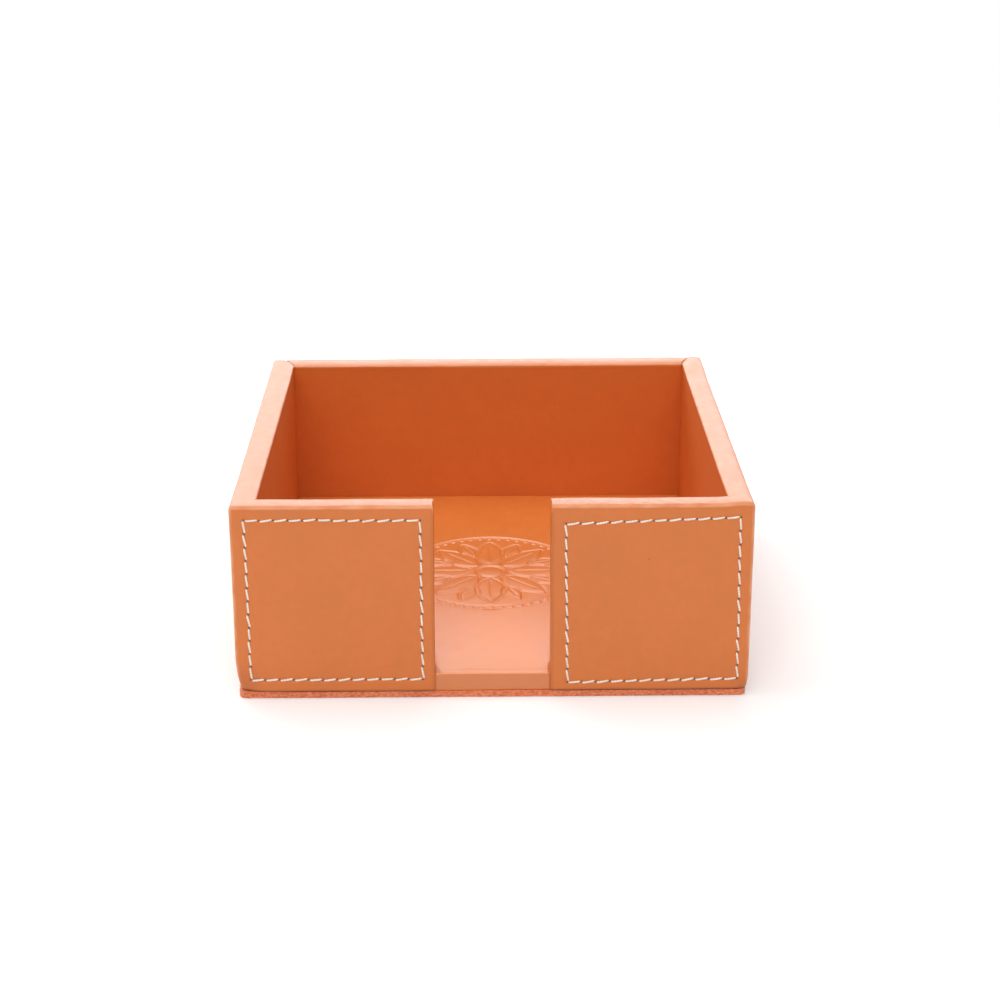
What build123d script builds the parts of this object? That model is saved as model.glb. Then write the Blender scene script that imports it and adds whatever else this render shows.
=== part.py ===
"""Leather memo holder: a square open desk tray with a finger notch through its front wall.

Stiff boards make the box. Leather covers wrap the outside, the rim and the edges of the notch,
linings face the inside, and a padded leather floor turns down over the sill in the notch. Two
stitched front panels and a suede pad finish it. The frame has +Z up and the front at -Y, with its
origin in the middle of the pad's underside.
"""

import os
from math import atan2, degrees, sin

from build123d import *

# Driving dimensions, in millimetres
width = 115.0  # outside of the covers, across the front
depth = 115.0  # outside of the covers, front to back
height = 46.0  # underside of the pad to the top of the rim
notch_width = 26.5  # clear gap between the two front panels

wall_board = 3.7  # board cores of the walls
base_thickness = 4.0  # board under the floor
skin = 1.0  # leather of the outer covers
lining_skin = 0.9  # leather of the inner linings
floor_skin = 1.0  # leather of the floor
padding = 2.85  # foam under the floor leather, at its full thickness
pad_thickness = 1.55  # suede pad under the tray
pad_inset = 0.2  # pad edge inside the covers

rim_lip = 2.0  # cover turned over the rim and the notch edges onto the inside
rim_radius = 1.1  # rounding of the rim and of the notch edges
corner_radius = 1.2  # rounding of the four upright corners
hem_radius = 1.0  # rounding where the covers turn under the walls
pad_corner_radius = 1.8  # plan corners of the suede pad
pad_edge_radius = 0.5  # worn lower edge of the suede pad
seam_bulge = 1.0  # bow of the curved rim seams at the back corners

brow_length = 36.0  # front stretch over which the padded floor curves down to the sill
nose_ease = 0.2  # foam left at the sill, rounded over its front edge
sill_recess = 0.4  # sill face behind the front panels

stitch_inset = 3.25  # stitch line inside the edges of a front panel
stitch_pitch = 3.2  # wanted spacing of the stitches
stitch_gap = 0.5  # bare leather between two stitches
stitch_slant = 9.0  # degrees that each stitch turns out of its row
thread_width = 0.54
stitch_rise = 0.35  # height of a stitch's arch over the leather

# Levels, from the bottom up
board_bottom = pad_thickness + skin
base_top = pad_thickness + base_thickness
padding_top = base_top + padding
lining_top = height - rim_lip
board_top = height - skin

# Half spans, from the outside in
half_width = width / 2
half_depth = depth / 2
board_x = half_width - skin
board_y = half_depth - skin
core_x = board_x - wall_board
core_y = board_y - wall_board
well_x = core_x - lining_skin
well_y = core_y - lining_skin
notch = notch_width / 2
tongue_front = half_depth - sill_recess - floor_skin

# Brow of the floor: a large arc that runs tangent into the small arc over the sill
brow_start = brow_length - tongue_front
nose_y = nose_ease - tongue_front
brow_run = brow_start - nose_y
brow_turn = 2 * atan2(padding - nose_ease, brow_run)
brow_angle = degrees(brow_turn)
brow_radius = brow_run / sin(brow_turn) + nose_ease

# Stitch rectangle of one front panel
panel_x = (half_width + notch) / 2
panel_z = (height + pad_thickness) / 2
row_width = half_width - notch - 2 * stitch_inset
row_height = height - pad_thickness - 2 * stitch_inset
stitches_across = round(row_width / stitch_pitch)
stitches_up = round(row_height / stitch_pitch)
pitch_across = row_width / stitches_across
pitch_up = row_height / stitches_up
stitch_length = min(pitch_across, pitch_up) - stitch_gap

# Board cores: the side walls run the full depth, the back and front walls stand between them
with BuildPart() as base_board:
    with BuildSketch(Plane.XY.offset(pad_thickness)):
        Rectangle(2 * core_x, 2 * core_y)
        with Locations((0, -tongue_front)):
            Rectangle(notch_width, tongue_front, align=(Align.CENTER, Align.MIN))
    extrude(amount=base_thickness)

with BuildPart() as left_board:
    with BuildSketch(Plane.XY.offset(board_bottom)):
        with Locations((-board_x, 0)):
            Rectangle(wall_board, 2 * board_y, align=(Align.MIN, Align.CENTER))
    extrude(amount=board_top - board_bottom)

with BuildPart() as right_board:
    mirror(left_board.part, about=Plane.YZ)

with BuildPart() as back_board:
    with BuildSketch(Plane.XY.offset(board_bottom)):
        with Locations((0, board_y)):
            Rectangle(2 * core_x, wall_board, align=(Align.CENTER, Align.MAX))
    extrude(amount=board_top - board_bottom)

with BuildPart() as front_left_board:
    with BuildSketch(Plane.XY.offset(board_bottom)):
        with Locations((-core_x, -board_y)):
            Rectangle(core_x - notch - skin, wall_board, align=(Align.MIN, Align.MIN))
    extrude(amount=board_top - board_bottom)

with BuildPart() as front_right_board:
    mirror(front_left_board.part, about=Plane.YZ)

# Linings: they stand on the base board and stop under the turned-over edge of the covers
with BuildPart() as left_lining:
    with BuildSketch(Plane.XY.offset(base_top)):
        with Locations((-core_x, 0)):
            Rectangle(lining_skin, 2 * core_y, align=(Align.MIN, Align.CENTER))
    extrude(amount=lining_top - base_top)

with BuildPart() as right_lining:
    mirror(left_lining.part, about=Plane.YZ)

with BuildPart() as back_lining:
    with BuildSketch(Plane.XY.offset(base_top)):
        with Locations((0, core_y)):
            Rectangle(2 * well_x, lining_skin, align=(Align.CENTER, Align.MAX))
    extrude(amount=lining_top - base_top)

with BuildPart() as front_left_lining:
    with BuildSketch(Plane.XY.offset(base_top)):
        with Locations((-well_x, -core_y)):
            Rectangle(well_x - notch - rim_lip, lining_skin, align=(Align.MIN, Align.MIN))
    extrude(amount=lining_top - base_top)

with BuildPart() as front_right_lining:
    mirror(front_left_lining.part, about=Plane.YZ)

# Skin of the walls: the rounded wall, notched at the front, less everything that it wraps
with BuildPart() as hemmed_block:
    with BuildSketch(Plane.XY.offset(pad_thickness)):
        RectangleRounded(width, depth, corner_radius)
    extrude(amount=height - pad_thickness)
    fillet(hemmed_block.faces().sort_by(Axis.Z)[0].edges(), hem_radius)

with BuildPart() as wall_skin:
    with BuildSketch(Plane.XY.offset(pad_thickness)):
        RectangleRounded(width, depth, corner_radius)
        Rectangle(2 * well_x, 2 * well_y, mode=Mode.SUBTRACT)
        with Locations((0, -half_depth)):
            Rectangle(notch_width, half_depth, align=(Align.CENTER, Align.MIN), mode=Mode.SUBTRACT)
    extrude(amount=height - pad_thickness)
    uprights = wall_skin.edges().filter_by(Axis.Z)
    fillet(uprights.filter_by_position(Axis.X, -notch, notch), rim_radius)
    fillet(wall_skin.faces().sort_by(Axis.Z)[-1].edges(), rim_radius)
    add(hemmed_block.part, mode=Mode.INTERSECT)
    add([base_board.part, left_board.part, right_board.part], mode=Mode.SUBTRACT)
    add([back_board.part, front_left_board.part, front_right_board.part], mode=Mode.SUBTRACT)
    add([left_lining.part, right_lining.part, back_lining.part], mode=Mode.SUBTRACT)
    add([front_left_lining.part, front_right_lining.part], mode=Mode.SUBTRACT)

# Covers: the skin is parted at the back corners along curved rim seams
inner_corner = Vector(-well_x, well_y)
outer_corner = Vector(-half_width, half_depth)
seam_middle = (inner_corner + outer_corner) / 2 + Vector(1, 1).normalized() * seam_bulge

with BuildPart() as back_zone:
    with BuildSketch():
        with BuildLine():
            ThreePointArc(inner_corner, seam_middle, outer_corner)
            Polyline(outer_corner, (0, depth), (0, 0), inner_corner)
        make_face()
        mirror(about=Plane.YZ)
    extrude(amount=height)

with BuildPart() as back_cover:
    add(wall_skin.part)
    add(back_zone.part, mode=Mode.INTERSECT)

with BuildPart() as left_cover:
    add(wall_skin.part)
    add(back_zone.part, mode=Mode.SUBTRACT)
    split(bisect_by=Plane.YZ, keep=Keep.BOTTOM)

with BuildPart() as right_cover:
    mirror(left_cover.part, about=Plane.YZ)

# Padded floor: foam on the base board, and the leather drawn over it and down the sill
with BuildSketch() as floor_plan:
    Rectangle(2 * well_x, 2 * well_y)
    with Locations((0, -half_depth)):
        Rectangle(notch_width, half_depth, align=(Align.CENTER, Align.MIN))


def floor_line(rise):
    """Draw the floor from the back wall to the sill, at a rise above the top of the foam."""
    Line((well_y, padding_top + rise), (brow_start, padding_top + rise))
    CenterArc((brow_start, padding_top - brow_radius), brow_radius + rise, 90, brow_angle)
    CenterArc((nose_y, base_top), nose_ease + rise, 90 + brow_angle, 90 - brow_angle)


with BuildPart() as floor_padding:
    with BuildSketch(Plane.YZ):
        with BuildLine():
            floor_line(0)
            Polyline((-tongue_front, base_top), (well_y, base_top), (well_y, padding_top))
        make_face()
    extrude(amount=well_x, both=True)
    extrude(floor_plan.sketch, amount=height, mode=Mode.INTERSECT)

with BuildPart() as floor_leather:
    with BuildSketch(Plane.YZ):
        with BuildLine():
            floor_line(0)
            floor_line(floor_skin)
            Line((well_y, padding_top), (well_y, padding_top + floor_skin))
            Polyline(
                (-tongue_front, base_top),
                (-tongue_front, pad_thickness),
                (-tongue_front - floor_skin, pad_thickness),
                (-tongue_front - floor_skin, base_top),
            )
        make_face()
    extrude(amount=well_x, both=True)
    extrude(floor_plan.sketch, amount=height, mode=Mode.INTERSECT)

# Suede pad under the tray
with BuildPart() as base_pad:
    with BuildSketch():
        RectangleRounded(width - 2 * pad_inset, depth - 2 * pad_inset, pad_corner_radius)
    extrude(amount=pad_thickness)
    fillet(base_pad.faces().sort_by(Axis.Z)[0].edges(), pad_edge_radius)

# Stitching: a flat-backed arch of thread on the front face, repeated round each panel
with BuildPart() as stitch:
    with BuildSketch(Plane.XZ.rotated((0, 0, stitch_slant)).offset(-thread_width / 2)):
        with BuildLine():
            heel = (-stitch_length / 2, 0)
            toe = (stitch_length / 2, 0)
            ThreePointArc(heel, (0, stitch_rise), toe)
            Line(toe, heel)
        make_face()
    extrude(amount=thread_width)

stitching = {}
for side, name in ((-1, "left_stitching"), (1, "right_stitching")):
    panel = Plane((side * panel_x, -half_depth, panel_z), x_dir=(1, 0, 0), z_dir=(0, -1, 0))
    with BuildPart(panel) as rows:
        with GridLocations(pitch_across, row_height, stitches_across, 2):
            add(stitch.part)
        with GridLocations(row_width, pitch_up, 2, stitches_up):
            add(stitch.part, rotation=(0, 0, 90))
    stitching[name] = rows

pieces = {
    "base_board": base_board,
    "left_board": left_board,
    "right_board": right_board,
    "back_board": back_board,
    "front_left_board": front_left_board,
    "front_right_board": front_right_board,
    "left_lining": left_lining,
    "right_lining": right_lining,
    "back_lining": back_lining,
    "front_left_lining": front_left_lining,
    "front_right_lining": front_right_lining,
    "left_cover": left_cover,
    "right_cover": right_cover,
    "back_cover": back_cover,
    "floor_padding": floor_padding,
    "floor_leather": floor_leather,
    "base_pad": base_pad,
    **stitching,
}
os.makedirs("parts", exist_ok=True)
for name, piece in pieces.items():
    piece.part.label = name
    export_step(piece.part, f"parts/{name}.step")
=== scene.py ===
"""Memo holder: wall leather, sewing, lining, padded floor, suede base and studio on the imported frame."""

import logging
import math
from collections.abc import Callable
from dataclasses import dataclass, replace
from enum import Enum

import bmesh
import bpy
import numpy as np
from mathutils import Matrix, Vector


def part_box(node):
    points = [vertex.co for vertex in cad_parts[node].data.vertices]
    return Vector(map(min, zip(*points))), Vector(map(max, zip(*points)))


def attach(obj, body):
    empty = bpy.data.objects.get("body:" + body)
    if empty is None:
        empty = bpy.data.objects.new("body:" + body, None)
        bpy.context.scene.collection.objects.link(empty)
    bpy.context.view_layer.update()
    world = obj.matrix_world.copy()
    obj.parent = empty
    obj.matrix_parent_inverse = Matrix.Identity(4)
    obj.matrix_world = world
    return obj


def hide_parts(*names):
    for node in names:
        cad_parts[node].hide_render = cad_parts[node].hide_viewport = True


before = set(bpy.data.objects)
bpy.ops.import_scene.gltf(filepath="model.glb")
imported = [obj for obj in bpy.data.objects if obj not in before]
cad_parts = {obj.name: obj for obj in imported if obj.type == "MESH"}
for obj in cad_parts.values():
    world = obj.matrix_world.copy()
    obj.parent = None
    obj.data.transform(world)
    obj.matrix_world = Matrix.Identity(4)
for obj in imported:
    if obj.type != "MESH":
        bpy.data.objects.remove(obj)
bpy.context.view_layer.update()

LOG = logging.getLogger("memo_holder")
MM = 0.001
SHARP = math.radians(70)
WELD_GAP, WELD_SLIVER = 2e-7, 1e-7
Triple = tuple[float, float, float]
Colour = Triple
Plan = tuple[float, float]
Socket = bpy.types.NodeSocket
Piece = bpy.types.Object
Material = bpy.types.Material
Relief = Callable[[np.ndarray, np.ndarray], np.ndarray]


class Slot(Enum):
    """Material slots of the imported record."""

    COVER = "cover_leather"
    LINING = "lining_leather"
    FLOOR = "floor_leather"
    SUEDE = "suede"
    THREAD = "thread"
    BOARD = "fibreboard"
    FOAM = "foam"


class Side(Enum):
    """Hand of a paired piece, seen from the front."""

    LEFT = -1
    RIGHT = 1

    @property
    def word(self) -> str:
        """Name of the side as the frame's nodes spell it."""
        return self.name.lower()


# How far each corner of the sewn rows strays, from the top left round to the bottom left
DRIFT = {
    Side.LEFT: ((0.0, 0.14), (0.7, -0.14), (0.88, -0.09), (0.14, -0.07)),
    Side.RIGHT: ((-0.38, -1.12), (0.1, 0.22), (0.64, -0.4), (0.25, -1.07)),
}
HOLE_SEED = {Side.LEFT: 3, Side.RIGHT: 7}
STITCH_SEED = {Side.LEFT: 17, Side.RIGHT: 29}
NOTCH_OVERHANG = 0.28


# Lines, relief and meshes


def line(start: Plan, end: Plan, count: int) -> np.ndarray:
    """Gives a count of evenly spaced points of a straight line, both ends included."""
    return np.linspace(np.asarray(start, float), np.asarray(end, float), count)


def arc(centre: Plan, radius: float, start: float, end: float, count: int) -> np.ndarray:
    """Gives a count of evenly spaced points of a circular arc between two angles in degrees."""
    turn = np.radians(np.linspace(start, end, count))
    return np.column_stack((centre[0] + radius * np.cos(turn), centre[1] + radius * np.sin(turn)))


def chain(*runs: np.ndarray) -> np.ndarray:
    """Joins runs of points, each of which begins where the one before ends."""
    return np.concatenate([runs[0], *(run[1:] for run in runs[1:])])


def graded(start: float, end: float, step: float) -> np.ndarray:
    """Spaces values evenly along a length and closer together at its two ends.

    Args:
        start: First value.
        end: Last value.
        step: Spacing away from the ends.

    Returns:
        The values in order.
    """
    edge = np.array([0, 0.1, 0.22, 0.38, 0.6, 0.95, 1.5]) * math.copysign(1, end - start)
    count = max(2, round((abs(end - start) - 3) / step) + 1)
    middle = np.linspace(start + edge[-1], end - edge[-1], count)
    return np.concatenate([start + edge[:-1], middle, end - edge[-2::-1]])


def ridge(distance: np.ndarray, width: float) -> np.ndarray:
    """Gives a smooth bump of height 1 at no distance, fallen to about a third at its width."""
    return np.exp(-np.square(distance / width))


def smooth(value: np.ndarray, low: float, high: float) -> np.ndarray:
    """Rises smoothly from 0 at a low value to 1 at a high one."""
    part = np.clip((value - low) / (high - low), 0, 1)
    return part * part * (3 - 2 * part)


def waves(points: np.ndarray, size: float, seed: int) -> np.ndarray:
    """Gives soft irregular waves, as hand-laid leather has.

    Args:
        points: Points in millimetres.
        size: Typical length of a wave in millimetres.
        seed: Fixed seed of the pattern.

    Returns:
        Heights between about -1 and 1.
    """
    count, spread = 9, 3.4
    draw = np.random.default_rng(seed)
    heading = draw.normal(size=(count, points.shape[1]))
    heading /= np.linalg.norm(heading, axis=1)[:, None]
    pace = heading / (size * draw.uniform(0.7, 1.7, count))[:, None]
    return np.sin(points @ pace.T * math.tau + draw.uniform(0, math.tau, count)).sum(1) / spread


def sweep(plan: Callable[[float], np.ndarray], rows: np.ndarray) -> np.ndarray:
    """Sweeps a section's depths and heights along a plan line, to a grid along the plan by up the rows."""
    flats = [(plan(depth), height) for depth, height in rows]
    return np.stack([np.column_stack((flat, np.full(len(flat), height))) for flat, height in flats], axis=1)


def stand(name: str, data: bpy.types.ID) -> Piece:
    """Puts data into the scene.

    Args:
        name: Name of the object.
        data: Its mesh, lamp or camera.

    Returns:
        The object, at the origin.
    """
    holder = bpy.data.objects.new(name, data)
    bpy.context.scene.collection.objects.link(holder)
    return holder


class Draft:
    """Collects grids and faces in millimetres and welds them into one mesh."""

    def __init__(self, name: str) -> None:
        """Starts an empty draft of a piece with this name."""
        self.name = name
        self.points: list[np.ndarray] = []
        self.faces: list[list[int]] = []
        self.count = 0

    def add_points(self, points: np.ndarray) -> np.ndarray:
        """Adds loose points.

        Args:
            points: Points of any grid shape, with three numbers each.

        Returns:
            The index of each point, in the grid's shape.
        """
        shape = points.shape[:-1]
        self.points.append(points.reshape(-1, 3))
        index = np.arange(self.count, self.count + int(np.prod(shape))).reshape(shape)
        self.count += index.size
        return index

    def add_quads(self, index: np.ndarray) -> None:
        """Adds the faces between the neighbours of a grid of indices."""
        corners = (index[:-1, :-1], index[1:, :-1], index[1:, 1:], index[:-1, 1:])
        self.faces.extend(np.stack(corners, -1).reshape(-1, 4).tolist())

    def add_grid(self, points: np.ndarray) -> None:
        """Adds a grid of points with its faces, whose front is first axis cross second axis."""
        self.add_quads(self.add_points(points))

    def weld(self, turn_out: bool = False) -> Piece:
        """Merges doubled points and makes the object.

        Args:
            turn_out: Whether to turn the faces of a closed piece outwards.

        Returns:
            The object, smooth shaded, with its place in its mesh.
        """
        mesh = bpy.data.meshes.new(self.name)
        mesh.from_pydata((np.concatenate(self.points) * MM).tolist(), [], self.faces)
        work = bmesh.new()
        work.from_mesh(mesh)
        bmesh.ops.remove_doubles(work, verts=work.verts, dist=WELD_GAP)
        bmesh.ops.dissolve_degenerate(work, edges=work.edges, dist=WELD_SLIVER)
        if turn_out:
            bmesh.ops.recalc_face_normals(work, faces=work.faces)
        work.to_mesh(mesh)
        work.free()
        mesh.shade_smooth()
        return stand(self.name, mesh)


def read(mesh: bpy.types.Mesh) -> tuple[np.ndarray, np.ndarray]:
    """Reads a mesh's points.

    Args:
        mesh: Mesh to read.

    Returns:
        The points in metres and their normals, one row each.
    """
    points, normals = np.empty(len(mesh.vertices) * 3), np.empty(len(mesh.vertices) * 3)
    mesh.vertices.foreach_get("co", points)
    mesh.vertices.foreach_get("normal", normals)
    return points.reshape(-1, 3), normals.reshape(-1, 3)


def displace(piece: Piece, relief: Relief) -> None:
    """Moves a mesh's points along their normals.

    Args:
        piece: Object whose mesh is moved.
        relief: Gives a distance in millimetres for points in millimetres and their normals.
    """
    mesh = piece.data
    points, normals = read(mesh)
    moved = points + normals * (relief(points / MM, normals) * MM)[:, None]
    mesh.vertices.foreach_set("co", moved.ravel())
    mesh.update()


def mark(piece: Piece, wear_and_painted_light: Relief) -> None:
    """Notes on a mesh's points how worn they are and where light or shade is painted on them.

    Args:
        piece: Object whose mesh is marked.
        wear_and_painted_light: Gives 1 for a rubbed edge with a painted highlight and -1 for painted shade,
            for points in millimetres and their normals.
    """
    points, normals = read(piece.data)
    # The attribute holds rubbed wear with a painted highlight above 0 and painted shade below 0.
    layer = piece.data.attributes.new("wear_and_painted_light", "FLOAT", "POINT")
    layer.data.foreach_set("value", wear_and_painted_light(points / MM, normals).astype(np.float32))


def bake(piece: Piece) -> None:
    """Turns a piece and its modifiers into a plain mesh."""
    depsgraph = bpy.context.evaluated_depsgraph_get()
    mesh = bpy.data.meshes.new_from_object(piece.evaluated_get(depsgraph), depsgraph=depsgraph)
    plain = piece.data
    piece.modifiers.clear()
    piece.data = mesh
    bpy.data.meshes.remove(plain)
    mesh.name = piece.name


def thicken(piece: Piece, thickness: float) -> None:
    """Gives a sheet its thickness behind its front and closes its edges.

    Args:
        piece: Open sheet whose faces look outwards.
        thickness: Thickness in millimetres.
    """
    wall = piece.modifiers.new("thickness", "SOLIDIFY")
    wall.thickness = thickness * MM
    wall.offset = -1
    bake(piece)
    piece.data.set_sharp_from_angle(angle=SHARP)


def hand_over(piece: Piece, node: str, slot: Slot, finish: Material) -> None:
    """Dresses a piece and puts it on the frame in place of a node.

    Args:
        piece: Finished piece.
        node: Node of the frame that the piece stands for.
        slot: Slot of the record for the piece; not used.
        finish: Material of the piece.
    """
    if not piece.data.materials:
        piece.data.materials.append(finish)
    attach(piece, "root")
    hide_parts(node)
    LOG.info("%s: %d faces for %s", piece.name, len(piece.data.polygons), node)


# Node trees


class Nodes:
    """One node tree and short calls that fill it."""

    def __init__(self, tree: bpy.types.NodeTree) -> None:
        """Takes over an empty tree."""
        self.tree = tree
        tree.nodes.clear()

    def add(self, kind: str, values: dict | None = None, **settings: object) -> bpy.types.Node:
        """Adds a node.

        Args:
            kind: Type of the node.
            values: Plain values or sockets for its inputs, by name or number.
            settings: Properties of the node itself.

        Returns:
            The node.
        """
        node = self.tree.nodes.new(kind)
        for key, value in settings.items():
            setattr(node, key, value)
        for key, value in (values or {}).items():
            if isinstance(value, Socket):
                self.tree.links.new(value, node.inputs[key])
            else:
                node.inputs[key].default_value = value
        return node

    def math(self, operation: str, *values: object) -> Socket:
        """Adds a sum on numbers and gives its result."""
        return self.add("ShaderNodeMath", dict(enumerate(values)), operation=operation).outputs[0]

    def remap(self, value: object, low: float, high: float, to: Plan = (0, 1)) -> Socket:
        """Maps a range of a value to another range and clamps it."""
        limits = {"Value": value, "From Min": low, "From Max": high, "To Min": to[0], "To Max": to[1]}
        return self.add("ShaderNodeMapRange", limits).outputs["Result"]


class Surface(Nodes):
    """Principled surface with patterns laid out in millimetres on Object coordinates."""

    def __init__(self, name: str) -> None:
        """Starts the material."""
        self.material = bpy.data.materials.new(name)
        self.material.use_nodes = True
        super().__init__(self.material.node_tree)
        self.place = self.add("ShaderNodeTexCoord").outputs["Object"]

    def stretched(self, scale: Triple) -> Socket:
        """Gives coordinates that are stretched by a factor along each axis."""
        values = {"Vector": self.place, "Scale": tuple(1 / part for part in scale)}
        return self.add("ShaderNodeMapping", values).outputs["Vector"]

    def noise(self, size: float, detail: float = 3, place: object = None) -> Socket:
        """Gives a cloudy pattern around one half, with its largest clouds of a size in millimetres."""
        values = {"Vector": place or self.place, "Scale": 1 / (size * MM), "Detail": detail}
        return self.add("ShaderNodeTexNoise", values).outputs["Fac"]

    def cells(self, size: float, feature: str = "F1", place: object = None) -> Socket:
        """Gives a distance in a pattern of cells of a size in millimetres."""
        values = {"Vector": place or self.place, "Scale": 1 / (size * MM)}
        return self.add("ShaderNodeTexVoronoi", values, feature=feature).outputs["Distance"]

    def blend(self, factor: object, first: object, second: object) -> Socket:
        """Mixes two colours by a factor."""
        first = first if isinstance(first, Socket) else (*first, 1)
        second = second if isinstance(second, Socket) else (*second, 1)
        return self.add("ShaderNodeMix", {0: factor, 6: first, 7: second}, data_type="RGBA").outputs[2]

    def relief(self, *layers: tuple[Socket, float]) -> Socket:
        """Adds patterns up to a height and gives the bumped normal.

        Args:
            layers: Patterns with their heights in millimetres.

        Returns:
            The normal.
        """
        height: object = 0.0
        for pattern, depth in layers:
            height = self.math("MULTIPLY_ADD", pattern, depth, height)
        return self.add("ShaderNodeBump", {"Strength": 1.0, "Distance": MM, "Height": height}).outputs[0]

    def finish(self, values: dict) -> Material:
        """Puts the shader on the material.

        Args:
            values: Values or sockets of the principled shader.

        Returns:
            The material.
        """
        shader = self.add("ShaderNodeBsdfPrincipled", values)
        self.add("ShaderNodeOutputMaterial", {"Surface": shader.outputs["BSDF"]})
        return self.material


class GeometryTree(Nodes):
    """Geometry Nodes tree with named sizes, made plain as soon as it has run."""

    def __init__(self, name: str) -> None:
        """Starts a tree that takes and gives one geometry."""
        super().__init__(bpy.data.node_groups.new(name, "GeometryNodeTree"))
        self.tree.interface.new_socket("Geometry", in_out="INPUT", socket_type="NodeSocketGeometry")
        self.tree.interface.new_socket("Geometry", in_out="OUTPUT", socket_type="NodeSocketGeometry")
        self.source = self.add("NodeGroupInput")
        self.values: dict[str, object] = {}

    def size(self, name: str, value: float | int) -> Socket:
        """Adds a named input.

        Args:
            name: Name of the input.
            value: Its value, in metres, radians or a count.

        Returns:
            The input's socket inside the tree.
        """
        kind = "NodeSocketInt" if isinstance(value, int) else "NodeSocketFloat"
        socket = self.tree.interface.new_socket(name, in_out="INPUT", socket_type=kind)
        self.values[socket.identifier] = value
        return self.source.outputs[name]

    def vector(self, *parts: object) -> Socket:
        """Joins three numbers to a vector."""
        return self.add("ShaderNodeCombineXYZ", dict(enumerate(parts))).outputs[0]

    def vectors(self, operation: str, *values: object) -> Socket:
        """Adds a sum on vectors and gives its vector."""
        return self.add("ShaderNodeVectorMath", dict(enumerate(values)), operation=operation).outputs[0]

    def random(self, low: float, high: float, seed: object) -> Socket:
        """Gives a random number for each element from a fixed seed."""
        values = {2: low, 3: high, "Seed": seed}
        return self.add("FunctionNodeRandomValue", values, data_type="FLOAT").outputs[1]

    def real(self, instances: Socket, material: Material) -> Socket:
        """Makes instances real and gives them a material."""
        mesh = self.add("GeometryNodeRealizeInstances", {"Geometry": instances}).outputs[0]
        return self.add("GeometryNodeSetMaterial", {"Geometry": mesh, "Material": material}).outputs[0]

    def tube(self, run: Socket, sides: int, radius: Socket) -> Socket:
        """Gives a curve a round section with closed ends.

        Args:
            run: Curve in the middle of the tube.
            sides: Number of sides of the section.
            radius: Radius of the section.

        Returns:
            The tube's mesh.
        """
        ring = self.add("GeometryNodeCurvePrimitiveCircle", {"Resolution": sides, "Radius": radius})
        values = {"Curve": run, "Profile Curve": ring.outputs["Curve"], "Fill Caps": True}
        return self.add("GeometryNodeCurveToMesh", values).outputs["Mesh"]

    def tilted(self, turn: Socket, lean: Socket) -> Socket:
        """Turns a rotation further about its own axes.

        Args:
            turn: Rotation to start from.
            lean: Angles about the three axes.

        Returns:
            The new rotation.
        """
        tilt = self.add("FunctionNodeEulerToRotation", {0: lean}).outputs[0]
        values = {"Rotation": turn, "Rotate By": tilt}
        return self.add("FunctionNodeRotateRotation", values, rotation_space="LOCAL").outputs[0]

    def run(self, piece: Piece, *parts: Socket) -> None:
        """Joins the parts as the tree's result and puts it on a piece as a plain mesh.

        Args:
            piece: Object that the tree starts from.
            parts: Geometries that make up the result.
        """
        joined = self.add("GeometryNodeJoinGeometry")
        for part in parts:
            self.tree.links.new(part, joined.inputs[0])
        self.add("NodeGroupOutput", {"Geometry": joined.outputs[0]})
        modifier = piece.modifiers.new(self.tree.name, "NODES")
        modifier.node_group = self.tree
        for identifier, value in self.values.items():
            modifier[identifier] = value
        bake(piece)


# Finishes


def tint(colour: Colour, factor: float) -> Colour:
    """Makes a colour lighter or darker by a factor."""
    return tuple(min(1.0, part * factor) for part in colour)


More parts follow.
